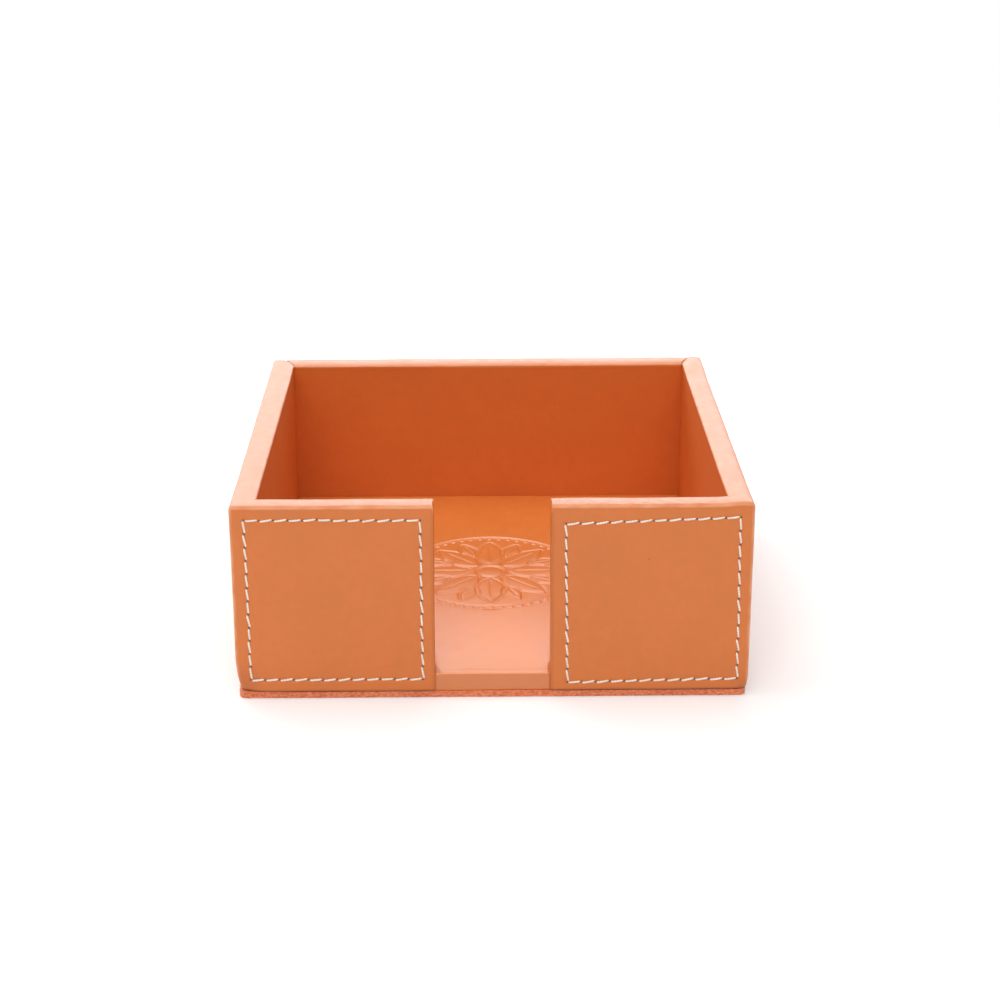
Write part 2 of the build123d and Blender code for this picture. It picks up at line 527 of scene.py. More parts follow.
@dataclass(frozen=True)
class Leather:
    """Smooth dyed leather with pores, faint creases and a waxed surface."""

    name: str
    colour: Colour
    shade: Colour
    roughness: float = 0.42
    specular: float = 0.5
    coat: float = 0.0
    coat_roughness: float = 0.2
    pore_depth: float = 0.014
    crease_depth: float = 0.008
    mottle: float = 0.035
    fleck: float = 0.0
    # Pale tint of rubbed edges, which also paints their highlight
    rub_and_highlight: Colour = (0.92, 0.45, 0.24)
    cloud_size: float = 13
    patch_size: float = 2.4
    grain_size: float = 0.5
    pore_size: float = 0.42
    crease_size: float = 1.1
    fleck_spacing: float = 8
    pore_share: float = 0.16
    # Shares of the rubbed tint with its painted highlight, and of the painted shade
    rub_and_highlight_share: float = 0.75
    painted_shade_share: float = 0.9

    def material(self) -> Material:
        """Builds the leather's material.

        Returns:
            The material.
        """
        surface = Surface(self.name)
        cloud = surface.noise(self.cloud_size, 4)
        patch = surface.noise(self.patch_size, 4)
        grain = surface.noise(self.grain_size, 3)
        pores = surface.remap(surface.cells(self.pore_size), 0.04, 0.3, (1, 0))
        creases = surface.remap(surface.cells(self.crease_size, "DISTANCE_TO_EDGE"), 0, 0.1, (1, 0))
        marks = surface.remap(surface.cells(self.fleck_spacing), 0.015, 0.036, (self.fleck, 0))
        wear_and_painted_light = surface.add("ShaderNodeAttribute", attribute_name="wear_and_painted_light").outputs["Fac"]
        tone = surface.math("MULTIPLY_ADD", patch, 0.45, surface.math("MULTIPLY", cloud, 0.55))
        tone = surface.remap(tone, 0.34, 0.66)
        colour = surface.blend(tone, tint(self.colour, 1 - self.mottle), tint(self.colour, 1 + self.mottle))
        colour = surface.blend(surface.math("MULTIPLY", pores, self.pore_share), colour, self.shade)
        colour = surface.blend(marks, colour, tint(self.shade, 0.6))
        # Paler on rubbed edges: partly wear, partly a painted highlight where the edges catch the light
        colour = surface.blend(surface.remap(wear_and_painted_light, 0, 1, (0, self.rub_and_highlight_share)), colour, self.rub_and_highlight)
        # Painted shade: darker in seams, under the hem, on the notch ends and on the sill face
        dark = surface.remap(wear_and_painted_light, 0, -1, (0, self.painted_shade_share))
        colour = surface.blend(dark, colour, tint(self.shade, 0.4))
        gloss = surface.remap(patch, 0.3, 0.7, (self.roughness - 0.04, self.roughness + 0.05))
        fine = (pores, -self.pore_depth), (creases, -self.crease_depth)
        normal = surface.relief(*fine, (grain, 0.02), (patch, 0.016), (cloud, 0.03))
        values = {"Base Color": colour, "Roughness": gloss, "Normal": normal, "IOR": 1.5}
        values |= {"Specular IOR Level": self.specular, "Coat Weight": self.coat}
        values |= {"Coat Roughness": self.coat_roughness, "Diffuse Roughness": 0.2}
        return surface.finish(values)


@dataclass(frozen=True)
class Suede:
    """Napped suede with a brushed, fibrous surface."""

    name: str
    light: Colour
    dark: Colour

    def material(self) -> Material:
        """Builds the suede's material.

        Returns:
            The material.
        """
        surface = Surface(self.name)
        brushed = surface.stretched((1, 1, 0.55))
        tufts = surface.noise(0.85, 3, brushed)
        nap = surface.noise(0.16, 3)
        cloud = surface.noise(7, 3)
        tone = surface.math("MULTIPLY_ADD", tufts, 0.75, surface.math("MULTIPLY", cloud, 0.25))
        colour = surface.blend(surface.remap(tone, 0.4, 0.6), self.dark, self.light)
        colour = surface.blend(surface.remap(nap, 0.45, 0.75, (0, 0.35)), colour, tint(self.light, 1.35))
        normal = surface.relief((tufts, 0.2), (nap, 0.06))
        values = {"Base Color": colour, "Roughness": 0.92, "Normal": normal, "Specular IOR Level": 0.15}
        values |= {"Sheen Weight": 0.35, "Sheen Roughness": 0.5, "Sheen Tint": (1.0, 0.72, 0.55, 1)}
        return surface.finish(values)


@dataclass(frozen=True)
class Thread:
    """Waxed linen thread with fine fibres along it."""

    name: str
    colour: Colour

    def material(self) -> Material:
        """Builds the thread's material.

        Returns:
            The material.
        """
        surface = Surface(self.name)
        fibres = surface.noise(0.09, 3)
        slubs = surface.noise(1.6, 2)
        tone = surface.remap(slubs, 0.35, 0.65)
        colour = surface.blend(tone, tint(self.colour, 0.9), tint(self.colour, 1.05))
        colour = surface.blend(surface.remap(fibres, 0.5, 0.8, (0, 0.25)), colour, tint(self.colour, 0.62))
        normal = surface.relief((fibres, 0.035))
        values = {"Base Color": colour, "Roughness": 0.62, "Normal": normal, "Specular IOR Level": 0.35}
        values |= {"Sheen Weight": 0.2, "Sheen Roughness": 0.4}
        return surface.finish(values)


@dataclass(frozen=True)
class Core:
    """Plain material inside the walls and floor: pressed fibres or open foam; also the painted shade of the
    needle holes.
    """

    name: str
    light: Colour
    dark: Colour
    speck: float
    stretch: Triple
    feature: str
    depth: float

    def material(self) -> Material:
        """Builds the core's material.

        Returns:
            The material.
        """
        surface = Surface(self.name)
        cells = surface.cells(self.speck, self.feature, surface.stretched(self.stretch))
        fuzz = surface.noise(self.speck * 0.4, 3)
        tone = surface.math("MULTIPLY_ADD", cells, 0.6, surface.math("MULTIPLY", fuzz, 0.4))
        colour = surface.blend(surface.remap(tone, 0.15, 0.6), self.dark, self.light)
        gloss = surface.remap(fuzz, 0.3, 0.7, (0.8, 0.95))
        normal = surface.relief((cells, self.depth), (fuzz, self.depth * 0.5))
        values = {"Base Color": colour, "Roughness": gloss, "Normal": normal, "Specular IOR Level": 0.2}
        return surface.finish(values)


COVER_LEATHER = Leather(
    "cover leather", (0.69, 0.182, 0.03), (0.46, 0.09, 0.012), roughness=0.33, coat=0.12, fleck=0.5
)
LINING_LEATHER = Leather(
    "lining leather", (0.67, 0.153, 0.023), (0.45, 0.083, 0.01), roughness=0.58, specular=0.32
)
FLOOR_LEATHER = Leather(
    "floor leather", (0.77, 0.222, 0.038), (0.54, 0.115, 0.017),
    roughness=0.38, specular=0.95, coat=0.3, coat_roughness=0.3,
)
PAD_SUEDE = Suede("base suede", (0.94, 0.31, 0.155), (0.65, 0.15, 0.062))
LINEN_THREAD = Thread("linen thread", (0.96, 0.9, 0.79))
# Dark brown painted shade of the needle holes, put on beads over the holes
NEEDLE_HOLE_SHADE = Core("needle hole shade", (0.26, 0.11, 0.055), (0.13, 0.052, 0.024), 0.2, (1, 1, 1), "F1", 0.02)
WALL_BOARD = Core("fibreboard core", (0.5, 0.36, 0.22), (0.3, 0.19, 0.1), 0.9, (1.6, 1.6, 0.5), "F1", 0.08)
FLOOR_FOAM = Core(
    "padding foam", (0.82, 0.79, 0.69), (0.5, 0.45, 0.36), 0.7, (1, 1, 1), "DISTANCE_TO_EDGE", 0.15
)


# The tray


@dataclass(frozen=True)
class TraySizes:
    """Main sizes of the tray in millimetres."""

    half_width: float
    half_depth: float
    height: float
    half_notch: float
    half_well: float
    pad_top: float
    base_top: float
    floor_top: float
    sill_face: float
    sill_low: float

    @classmethod
    def from_frame(cls) -> "TraySizes":
        """Reads the sizes from the nodes of the frame.

        Returns:
            The sizes.
        """
        cover = [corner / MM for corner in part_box("left_cover")]
        lining = [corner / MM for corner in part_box("left_lining")]
        floor = [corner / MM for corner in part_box("floor_leather")]
        board = [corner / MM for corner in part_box("base_board")]
        return cls(
            half_width=-cover[0].x,
            half_depth=-cover[0].y,
            height=cover[1].z,
            half_notch=-cover[1].x,
            half_well=-lining[1].x,
            pad_top=cover[0].z,
            base_top=board[1].z,
            floor_top=floor[1].z,
            sill_face=floor[0].y,
            sill_low=floor[0].z,
        )

    @property
    def wall(self) -> float:
        """Thickness of a wall with its leather and lining."""
        return self.half_width - self.half_well


@dataclass(frozen=True)
class SewnPanel:
    """Needle holes of one front panel, set by hand along four rows."""

    side: Side
    sizes: TraySizes
    drift: tuple[Plan, Plan, Plan, Plan]
    seed: int
    inset: float = 3.25
    stitches: int = 12
    unevenness: float = 0.05
    swell: Plan = (0.05, 2.2)
    trough: Plan = (0.16, 0.6)
    dimple: Plan = (0.22, 0.34)

    def corners(self) -> np.ndarray:
        """Gives the corners of the rows.

        Returns:
            Top left, top right, bottom right and bottom left, each across and up.
        """
        sizes = self.sizes
        hand = self.side.value
        edges = sorted((hand * (sizes.half_width - self.inset), hand * (sizes.half_notch + self.inset)))
        low, high = sizes.pad_top + self.inset, sizes.height - self.inset
        plain = [(edges[0], high), (edges[1], high), (edges[1], low), (edges[0], low)]
        return np.array(plain) + np.array(self.drift)

    def holes(self) -> np.ndarray:
        """Gives the needle holes round the panel.

        Returns:
            The holes in order, each across and up.
        """
        draw = np.random.default_rng(self.seed)
        corners = self.corners()
        rows = []
        for start, end in zip(corners, np.roll(corners, -1, axis=0)):
            row = line(start, end, self.stitches + 1)[:-1]
            row[1:] += draw.normal(0, self.unevenness, row[1:].shape)
            rows.append(row)
        return np.concatenate(rows)

    def pull(self, points: np.ndarray) -> np.ndarray:
        """Gives how far the thread pulls the leather in.

        Args:
            points: Places on the panel, each across and up.

        Returns:
            Distances in millimetres, negative where the leather is pulled in.
        """
        holes = self.holes()
        reach = np.full(len(points), np.inf)
        seam = np.full(len(points), np.inf)
        for start, end in zip(holes, np.roll(holes, -1, axis=0)):
            run = end - start
            part = np.clip((points - start) @ run / (run @ run), 0, 1)
            seam = np.minimum(seam, np.linalg.norm(points - start - part[:, None] * run, axis=1))
            reach = np.minimum(reach, np.linalg.norm(points - start, axis=1))
        (rise, wide), (sink, narrow), (pit, near) = self.swell, self.trough, self.dimple
        return rise * ridge(seam, wide) - sink * ridge(seam, narrow) - pit * ridge(reach, near)


@dataclass
class WallCovers:
    """Leather over the four walls, with rims, hems, corner seams and the two sewn front panels."""

    sizes: TraySizes
    panels: dict[Side, SewnPanel]
    bevel: Plan = (0.46, 0.85)
    lip: Plan = (0.3, 0.3)
    rear_lip: Plan = (0.15, 0.12)
    rim_rows: int = 17
    crown: float = 0.1
    fall: Plan = (0.28, 1.8)
    rear_fall: Plan = (0.37, 5.3)
    notch_radius: float = 0.25
    end_slope: float = 0.66
    corner_radius: float = 0.95
    rear_radius: float = 0.5
    well_radius: float = 0.45
    rear_well_radius: float = 0.15
    hem_radius: float = 0.8
    leather: float = 0.75
    lip_tail: float = 0.15
    seam_swing: Triple = (2.25, 2.05, 0.7)
    turn_under: float = 4.4
    face_rows: int = 132
    front_columns: int = 150
    left_tuck: Triple = (1.15, 9.0, 4.5)
    right_tuck: Triple = (0.5, 4.0, 3.0)
    notch_lean: Plan = (0.13, 8)
    droop: Plan = (0.45, 2.8)
    rear_lift: float = 0.42
    lift_from: Plan = (38, 51.5)
    lift_tilt: float = 0.004
    outer_lift: float = 0.28
    corner_lift: Plan = (0.25, 9)
    groove: Plan = (0.3, 0.22)
    bead: float = 0.13
    left_crumple: float = 0.01
    right_crumple: float = 0.04
    slack: float = 0.28
    painted_seam_shade: Plan = (0.9, 0.2)

    @property
    def lip_low(self) -> float:
        """Height at which the rim's leather ends inside the well."""
        return float(self.rim_height(self.lip[0])) - self.lip[1] - self.lip_tail

    @property
    def rear_lip_low(self) -> float:
        """Height at which the back cover's leather ends inside the well."""
        return float(self.rim_height(self.rear_lip[0], True)) - self.rear_lip[1] - self.lip_tail

    def rim_height(self, inside: np.ndarray | float, rear: bool = False) -> np.ndarray | float:
        """Gives the height of the rim's top at a distance from the well."""
        fall, reach = self.rear_fall if rear else self.fall
        return self.sizes.height - fall * np.square(np.clip(1 - inside / reach, 0, 1))

    def edge(self) -> np.ndarray:
        """Gives the rim's bevelled edge from the face up, as parts of its reach and of its drop."""
        inwards = (0, 0, 0.02, 0.08, 0.2, 0.33, 0.46, 0.6, 0.73, 0.86, 1)
        drop = (1, 0.93, 0.88, 0.8, 0.66, 0.52, 0.38, 0.24, 0.12, 0.04, 0)
        return np.column_stack((inwards, drop))

    def seam(self, depth: np.ndarray | float) -> np.ndarray | float:
        """Gives the place across of the back corner seam on the right.

        Args:
            depth: Distance in from the back face.

        Returns:
            Distance from the middle of the tray.
        """
        part = np.clip(np.asarray(depth) / self.sizes.wall, 0, 1)
        start, drift, bow = self.seam_swing
        swing = start - drift * part + bow * np.sin(math.pi * part**0.45)
        return self.sizes.half_width - depth - swing

    def profile(self, rear: bool = False) -> tuple[np.ndarray, int, int]:
        """Gives the wall leather's section.

        Args:
            rear: Whether it is the back wall's, with a rim that falls towards the well.

        Returns:
            Depth in from the face and height of each row, from the hem turned under the wall up the
            face and over the rim to the lip, then the first row of the hem's curve and the last row of
            the rim's outer curve.
        """
        low, high = self.sizes.pad_top, self.sizes.height
        hem, wall = self.hem_radius, self.sizes.wall
        under = line((self.turn_under, low), (hem, low), 3)
        turn = arc((hem, low + hem), hem, 270, 180, 7)
        face = line((0, low + hem), (0, high - self.bevel[1]), self.face_rows)
        outer = self.edge() * (1, -1) * self.bevel + (0, high)
        edge, lip_low = (self.rear_lip, self.rear_lip_low) if rear else (self.lip, self.lip_low)
        top = line((self.bevel[0], high), (wall - edge[0], high), self.rim_rows)
        top[:, 1] = self.rim_height(wall - top[:, 0], rear)
        inner = self.edge()[::-1] * (-1, -1) * edge + (wall, top[-1, 1])
        lip = line((wall, inner[-1, 1]), (wall, lip_low), 2)
        rows = chain(under, turn, face, outer, top, inner, lip)
        first = len(under) - 1
        return rows, first, first + len(turn) + len(face) + len(outer) - 3

    def corners(self, depth: float) -> tuple[float, float]:
        """Gives the radii of the rear and front upright corners at a depth into the wall."""
        part = depth / self.sizes.wall
        outer, inner = (self.rear_radius, self.corner_radius), (self.rear_well_radius, self.well_radius)
        return outer[0] * (1 - part) + inner[0] * part, outer[1] * (1 - part) + inner[1] * part

    def side_plan(self, depth: float) -> np.ndarray:
        """Gives the left cover's line in plan, from the back seam round to the notch.

        Args:
            depth: Distance in from the face.

        Returns:
            Points across and along.
        """
        rear, radius = self.corners(depth)
        left, back = depth - self.sizes.half_width, self.sizes.half_depth - depth
        inset = min(depth, (self.sizes.wall - depth) * self.bevel[0] / self.lip[0], self.bevel[0])
        notch = -self.sizes.half_notch - max(self.notch_radius, self.end_slope * inset)
        return chain(
            line((-float(self.seam(depth)), back), (left + rear, back), 9),
            arc((left + rear, back - rear), rear, 90, 180, 7),
            line((left, back - rear), (left, radius - back), 64),
            arc((left + radius, radius - back), radius, 180, 270, 9),
            line((left + radius, -back), (notch, -back), self.front_columns),
        )

    def notch_plan(self, depth: float) -> np.ndarray:
        """Gives the line in plan round the wall's end at the notch.

        Args:
            depth: Distance in from the wall's surface.

        Returns:
            Points across and along.
        """
        lean = self.end_slope * depth
        reach = np.array([max(self.notch_radius - lean, 0), max(self.notch_radius - depth, 0)])
        end = -self.sizes.half_notch - lean - reach[0]
        outer = depth + reach[1] - self.sizes.half_depth
        inner = self.sizes.wall - depth * self.lip[0] / self.bevel[0] - reach[1] - self.sizes.half_depth
        return chain(
            arc((0, 0), 1, 270, 360, 8) * reach + (end, outer),
            line((end + reach[0], outer), (end + reach[0], inner), self.rim_rows),
            arc((0, 0), 1, 0, 90, 8) * reach + (end, inner),
        )

    def notch_cap(self, rows: np.ndarray) -> np.ndarray:
        """Gives the leather on the wall's end at the notch, up to the rim's outer and inner curves.

        Args:
            rows: Depth and height of each row up to the end of the rim's outer curve.

        Returns:
            Grid of points, round the end by up the rows.
        """
        grid = sweep(self.notch_plan, rows)
        inner = np.append(self.lip_low, self.rim_height(self.lip[0]) - self.lip[1] * self.edge()[:, 1])
        share = np.concatenate([np.zeros(7), np.linspace(0, 1, self.rim_rows), np.ones(7)])
        grid[:, -len(inner) :, 2] += share[:, None] * (inner - rows[-len(inner) :, 1])
        span = self.sizes.wall - self.bevel[0] - self.lip[0]
        grid[:, -1, 2] = self.rim_height(self.lip[0] + (1 - share) * span)
        return grid

    def near_rim(self, height: np.ndarray) -> np.ndarray:
        """Rises from 0 on the walls to 1 at the rim."""
        return smooth(height, self.sizes.height - 3, self.sizes.height - 0.6)

    def seam_line(self, points: np.ndarray, width: float) -> np.ndarray:
        """Gives a bump along the two back corner seams.

        Args:
            points: Points of a cover.
            width: Width of the bump.

        Returns:
            Heights from 0 to 1.
        """
        sizes = self.sizes
        place = self.seam(np.clip(sizes.half_depth - points[:, 1], 0, None))
        behind = points[:, 1] > sizes.half_depth - sizes.wall - 0.05
        return np.where(behind, ridge(np.abs(np.abs(points[:, 0]) - place), width), 0)

    def tuck(self, grid: np.ndarray, side: Side) -> np.ndarray:
        """Draws the leather in at the lower front corner and the notch, and lowers the right rim's edge.

        Args:
            grid: Points of the cover.
            side: Side of the cover.

        Returns:
            The moved points.
        """
        sizes = self.sizes
        depth, rise, reach = self.left_tuck if side is Side.LEFT else self.right_tuck
        across, along, height = np.moveaxis(grid, -1, 0)
        away = (sizes.half_width - np.abs(across)) + (along + sizes.half_depth)
        pull = depth * np.square(np.clip(1 - (height - sizes.pad_top) / rise, 0, 1)) * ridge(away, reach)
        lean = self.notch_lean[0] * (height - sizes.pad_top) / sizes.height
        lean = lean * ridge(np.abs(across) - sizes.half_notch, self.notch_lean[1])
        fall = self.droop[0] * np.square(np.clip(1 - (sizes.half_width - across) / self.droop[1], 0, 1))
        fall *= self.near_rim(height) * (side is Side.RIGHT)
        return np.stack((across - np.sign(across) * (pull + lean), along + pull, height - fall), -1)

    def lift(self, grid: np.ndarray, side: Side | None) -> np.ndarray:
        """Raises the rim straight up where the leather stands off its board.

        Args:
            grid: Points of the cover.
            side: Side of the cover, or None for the back.

        Returns:
            The moved points.
        """
        sizes = self.sizes
        across, along, height = np.moveaxis(grid, -1, 0)
        rise = self.rear_lift * smooth(along, *self.lift_from) * (1 + self.lift_tilt * across)
        if side is Side.RIGHT:
            outer = smooth(across, sizes.half_width - sizes.wall - 3, sizes.half_width - 2)
            away = np.hypot(across - sizes.half_width, along + sizes.half_depth)
            rise = rise + self.outer_lift * outer + self.corner_lift[0] * ridge(away, self.corner_lift[1])
        inside = np.maximum(np.abs(across), np.abs(along)) - sizes.half_well
        low = max(self.lip_low, self.rear_lip_low)
        share = np.where(inside > sizes.wall / 2, self.near_rim(height), smooth(height, low, low + 0.25))
        return np.stack((across, along, height + rise * share), -1)

    def hand_work(self, points: np.ndarray, normals: np.ndarray, side: Side | None) -> np.ndarray:
        """Gives the relief of hand-laid leather: waves, seams, crowned rim, sewing, crumples and slack.

        Args:
            points: Points of the cover.
            normals: Their normals.
            side: Side of the cover, or None for the back.

        Returns:
            Distance along the normal.
        """
        sizes = self.sizes
        inside = np.abs(points[:, :2]).max(axis=1) - sizes.half_well
        groove = self.groove[0] * self.seam_line(points, self.groove[1])
        groove = groove * (smooth(inside, 0.2, 0.9) if side is None else 1)
        relief = 0.04 * waves(points, 19, seed=11) - groove
        upper = np.clip(normals[:, 2], 0, 1)
        relief += self.crown * upper * (1 - np.square(2 * inside / sizes.wall - 1))
        if side is None:
            return relief
        front = np.clip((-normals[:, 1] - 0.55) / 0.3, 0, 1)
        relief += front * self.panels[side].pull(points[:, [0, 2]])
        relief += self.bead * front * smooth(points[:, 2], sizes.height - 0.8, sizes.height - 0.7)
        inset = points[:, 1] + sizes.half_depth
        rim = ridge(points[:, 2] - sizes.height + 0.7, 0.9) * (1 - smooth(inset, 1.5, 3))
        crumple = self.right_crumple if side is Side.RIGHT else self.left_crumple
        relief += crumple * rim * waves(points, 1.5, seed=23)
        if side is Side.RIGHT:
            return relief
        loose = np.clip(-normals[:, 0], 0, 1) * smooth(points[:, 1], -40, 45) * smooth(points[:, 2], 20, 44)
        return relief + np.where(points[:, 0] < -sizes.half_well - 1, self.slack * loose, 0)

    def wear_and_painted_light(self, points: np.ndarray, normals: np.ndarray) -> np.ndarray:
        """Gives where the leather is paler on its edges, as rubbed wear and a painted highlight, and where
        painted shade darkens its seams, its hem's underside and its notch ends.

        Args:
            points: Points of the cover.
            normals: Their normals.

        Returns:
            Values between -1 for painted shade and 1 on a rubbed edge with a painted highlight.
        """
        sizes = self.sizes
        # Rounded edges paler: rubbed wear and a painted highlight
        edge = 1 - np.abs(normals).max(axis=1) ** 6
        rub_and_highlight = edge * np.clip(0.65 + 0.35 * waves(points, 4, seed=31), 0, 1)
        # Notch ends darker: painted shade standing for their dimmer reflection of the well
        end = 1 - smooth(np.abs(points[:, 0]) - sizes.half_notch, 0.35, 0.8)
        end *= (1 - smooth(points[:, 2], sizes.height - 2.2, sizes.height - 1)) * (points[:, 1] < 0)
        rub_and_highlight -= end * (rub_and_highlight + 0.2)
        # Underside of the hem darker: painted shade
        under = np.clip(-1.4 * normals[:, 2], 0, 1)
        # Back corner seams darker: painted shade in the seam
        dark, width = self.painted_seam_shade
        seam = self.seam_line(points, width) * np.clip(2 * normals[:, 2], 0, 1)
        return np.clip(rub_and_highlight * (1 - under) - under - dark * seam, -1, 1)

    def finished(self, draft: Draft, side: Side | None) -> Piece:
        """Welds a cover's sheets, works the leather and gives it its thickness.

        Args:
            draft: Sheets of the cover.
            side: Side of the cover, or None for the back.

        Returns:
            The closed leather.
        """
        piece = draft.weld()
        mark(piece, self.wear_and_painted_light)
        displace(piece, lambda points, normals: self.hand_work(points, normals, side))
        thicken(piece, self.leather)
        return piece

    def build_side(self, side: Side) -> Piece:
        """Builds the cover of one side with its front panel and notch end.

        Args:
            side: Side to build.

        Returns:
            The closed leather.
        """
        rows, first, last = self.profile()
        draft = Draft(f"{side.word}_cover_leather")
        for grid in (sweep(self.side_plan, rows), self.notch_cap(rows[first : last + 1])):
            facing = grid if side is Side.LEFT else (grid * (-1, 1, 1))[::-1]
            draft.add_grid(self.tuck(self.lift(facing, side), side))
        return self.finished(draft, side)

    def build_back(self) -> Piece:
        """Builds the back cover between the two corner seams.

        Returns:
            The closed leather.
        """
        rows, _, _ = self.profile(rear=True)
        half = self.sizes.half_width
        spread = graded(half, -half, 1.6) / half

        def plan(depth: float) -> np.ndarray:
            """Gives the back cover's line in plan at a depth."""
            across = spread * float(self.seam(depth))
            return np.column_stack((across, np.full(len(across), self.sizes.half_depth - depth)))

        draft = Draft("back_cover_leather")
        hem, rim, every = 10, -40, 4
        thinned = np.concatenate([rows[:hem], rows[hem:rim:every], rows[rim:]])
        draft.add_grid(self.lift(sweep(plan, thinned), None))
        return self.finished(draft, None)

    def dress(self) -> None:
        """Builds the three covers and hands them over."""
        finish = COVER_LEATHER.material()
        for side in Side:
            hand_over(self.build_side(side), f"{side.word}_cover", Slot.COVER, finish)
        hand_over(self.build_back(), "back_cover", Slot.COVER, finish)


@dataclass
class Sewing:
    """Linen saddle stitches of the front panels, each a twisted two-ply thread in its needle holes."""

    sizes: TraySizes
    panels: dict[Side, SewnPanel]
    length: float = 2.95
    ply_radius: float = 0.15
    twist_radius: float = 0.11
    crown: float = 0.06
    dip: float = 0.5
    turns: float = 2.5
    slant: float = 8.0
    sway: float = 3.5
    hole_radius: float = 0.22
    ply_points: int = 15
    ply_sides: int = 7

    def ply(self, tree: GeometryTree, sizes: dict[str, Socket], start: float) -> Socket:
        """Adds one ply of a stitch along X, crowned towards Z.

        Args:
            tree: Tree to add to.
            sizes: Sockets of the stitch's sizes.
            start: Angle at which the ply starts its twist.

        Returns:
            The ply's mesh.
        """
        half = tree.math("MULTIPLY", sizes["Stitch Length"], 0.5)
        ends = {"Start": tree.vector(tree.math("MULTIPLY", half, -1.0), 0.0, 0.0)}
        ends["End"] = tree.vector(half, 0.0, 0.0)
        run = tree.add("GeometryNodeCurvePrimitiveLine", ends).outputs["Curve"]
        run = tree.add("GeometryNodeResampleCurve", {"Curve": run, "Count": self.ply_points}).outputs["Curve"]
        along = tree.add("GeometryNodeSplineParameter").outputs["Factor"]
        away = tree.math("ABSOLUTE", tree.math("MULTIPLY_ADD", along, 2.0, -1.0))
        turn = tree.math("MULTIPLY_ADD", along, tree.math("MULTIPLY", sizes["Turns"], math.tau), start)
        slim = tree.math("MULTIPLY_ADD", tree.math("POWER", away, 3.0), -0.42, 1.0)
        spread = tree.math("MULTIPLY", slim, sizes["Twist Radius"])
        fall = tree.math("MULTIPLY", tree.math("POWER", away, 5.0), sizes["Dip"])
        rise = tree.math("MULTIPLY_ADD", tree.math("SINE", turn), spread, sizes["Crown"])
        swing = tree.math("MULTIPLY", tree.math("COSINE", turn), spread)
        offset = tree.vector(0.0, swing, tree.math("SUBTRACT", rise, fall))
        run = tree.add("GeometryNodeSetPosition", {"Geometry": run, "Offset": offset}).outputs[0]
        mesh = tree.tube(run, self.ply_sides, sizes["Ply Radius"])
        return tree.add("GeometryNodeSetShadeSmooth", {"Geometry": mesh}).outputs[0]

    def build(self, side: Side, thread: Material, hole_shade: Material) -> Piece:
        """Sews one panel.

        Args:
            side: Side of the panel.
            thread: Material of the thread.
            hole_shade: Material of the painted shade inside the needle holes.

        Returns:
            The stitches and the dark beads of painted shade on the needle holes, as one mesh.
        """
        holes = self.panels[side].holes()
        flat = np.full(len(holes), -self.sizes.half_depth + 0.06)
        places = np.column_stack((holes[:, 0], flat, holes[:, 1])) * MM
        order = np.arange(len(holes))
        mesh = bpy.data.meshes.new(f"{side.word}_panel_sewing")
        mesh.from_pydata(places.tolist(), np.column_stack((order, np.roll(order, -1))).tolist(), [])
        piece = stand(mesh.name, mesh)

        tree = GeometryTree(f"{side.word} saddle stitch")
        lengths = {"Stitch Length": self.length, "Ply Radius": self.ply_radius}
        lengths |= {"Twist Radius": self.twist_radius, "Crown": self.crown, "Dip": self.dip}
        sizes = {name: tree.size(name, length * MM) for name, length in lengths.items()}
        sizes["Turns"] = tree.size("Turns", self.turns)
        slant = tree.size("Slant", math.radians(self.slant))
        sway = tree.size("Sway", math.radians(self.sway))
        pit = tree.size("Hole Radius", self.hole_radius * MM)
        seed = tree.size("Seed", STITCH_SEED[side])

        stitch = tree.add("GeometryNodeJoinGeometry")
        for start in (0.0, math.pi):
            tree.tree.links.new(self.ply(tree, sizes, start), stitch.inputs[0])
        ends = tree.add("GeometryNodeInputMeshEdgeVertices")
        run = tree.vectors("SUBTRACT", ends.outputs["Position 2"], ends.outputs["Position 1"])
        marked = tree.add(
            "GeometryNodeStoreNamedAttribute",
            {"Geometry": tree.source.outputs["Geometry"], "Name": "run", "Value": run},
            data_type="FLOAT_VECTOR",
            domain="EDGE",
        ).outputs[0]
        points = tree.add("GeometryNodeMeshToPoints", {"Mesh": marked}, mode="EDGES").outputs[0]
        kept = tree.add("GeometryNodeInputNamedAttribute", {"Name": "run"}, data_type="FLOAT_VECTOR")
        turn = tree.add("FunctionNodeAlignRotationToVector", {"Vector": kept.outputs[0]}, axis="X").outputs[0]
        facing = {"Rotation": turn, "Vector": (0, -1, 0)}
        turn = tree.add("FunctionNodeAlignRotationToVector", facing, axis="Z", pivot_axis="X").outputs[0]
        lean = tree.math("MULTIPLY_ADD", tree.random(-1.0, 1.0, seed), sway, slant)
        turn = tree.tilted(turn, tree.vector(0.0, 0.0, lean))
        stretch = tree.vector(tree.random(0.95, 1.04, seed), 1.0, 1.0)
        placed = {"Points": points, "Instance": stitch.outputs[0], "Rotation": turn, "Scale": stretch}
        sewn = tree.add("GeometryNodeInstanceOnPoints", placed).outputs[0]
        # Flattened dark beads on the holes: painted shade that stands for the holes' depth
        bead = tree.add("GeometryNodeMeshUVSphere", {"Segments": 10, "Rings": 6, "Radius": pit}).outputs[0]
        squeezed = {"Points": tree.source.outputs["Geometry"], "Instance": bead, "Scale": (1.0, 0.35, 1.0)}
        hole_shade_beads = tree.add("GeometryNodeInstanceOnPoints", squeezed).outputs[0]
        tree.run(piece, tree.real(sewn, thread), tree.real(hole_shade_beads, hole_shade))
        for layer in [layer for layer in piece.data.attributes if layer.name == "run"]:
            piece.data.attributes.remove(layer)
        return piece

    def dress(self) -> None:
        """Sews both panels and hands the stitches over."""
        thread, hole_shade = LINEN_THREAD.material(), NEEDLE_HOLE_SHADE.material()
        for side in Side:
            hand_over(self.build(side, thread, hole_shade), f"{side.word}_stitching", Slot.THREAD, thread)


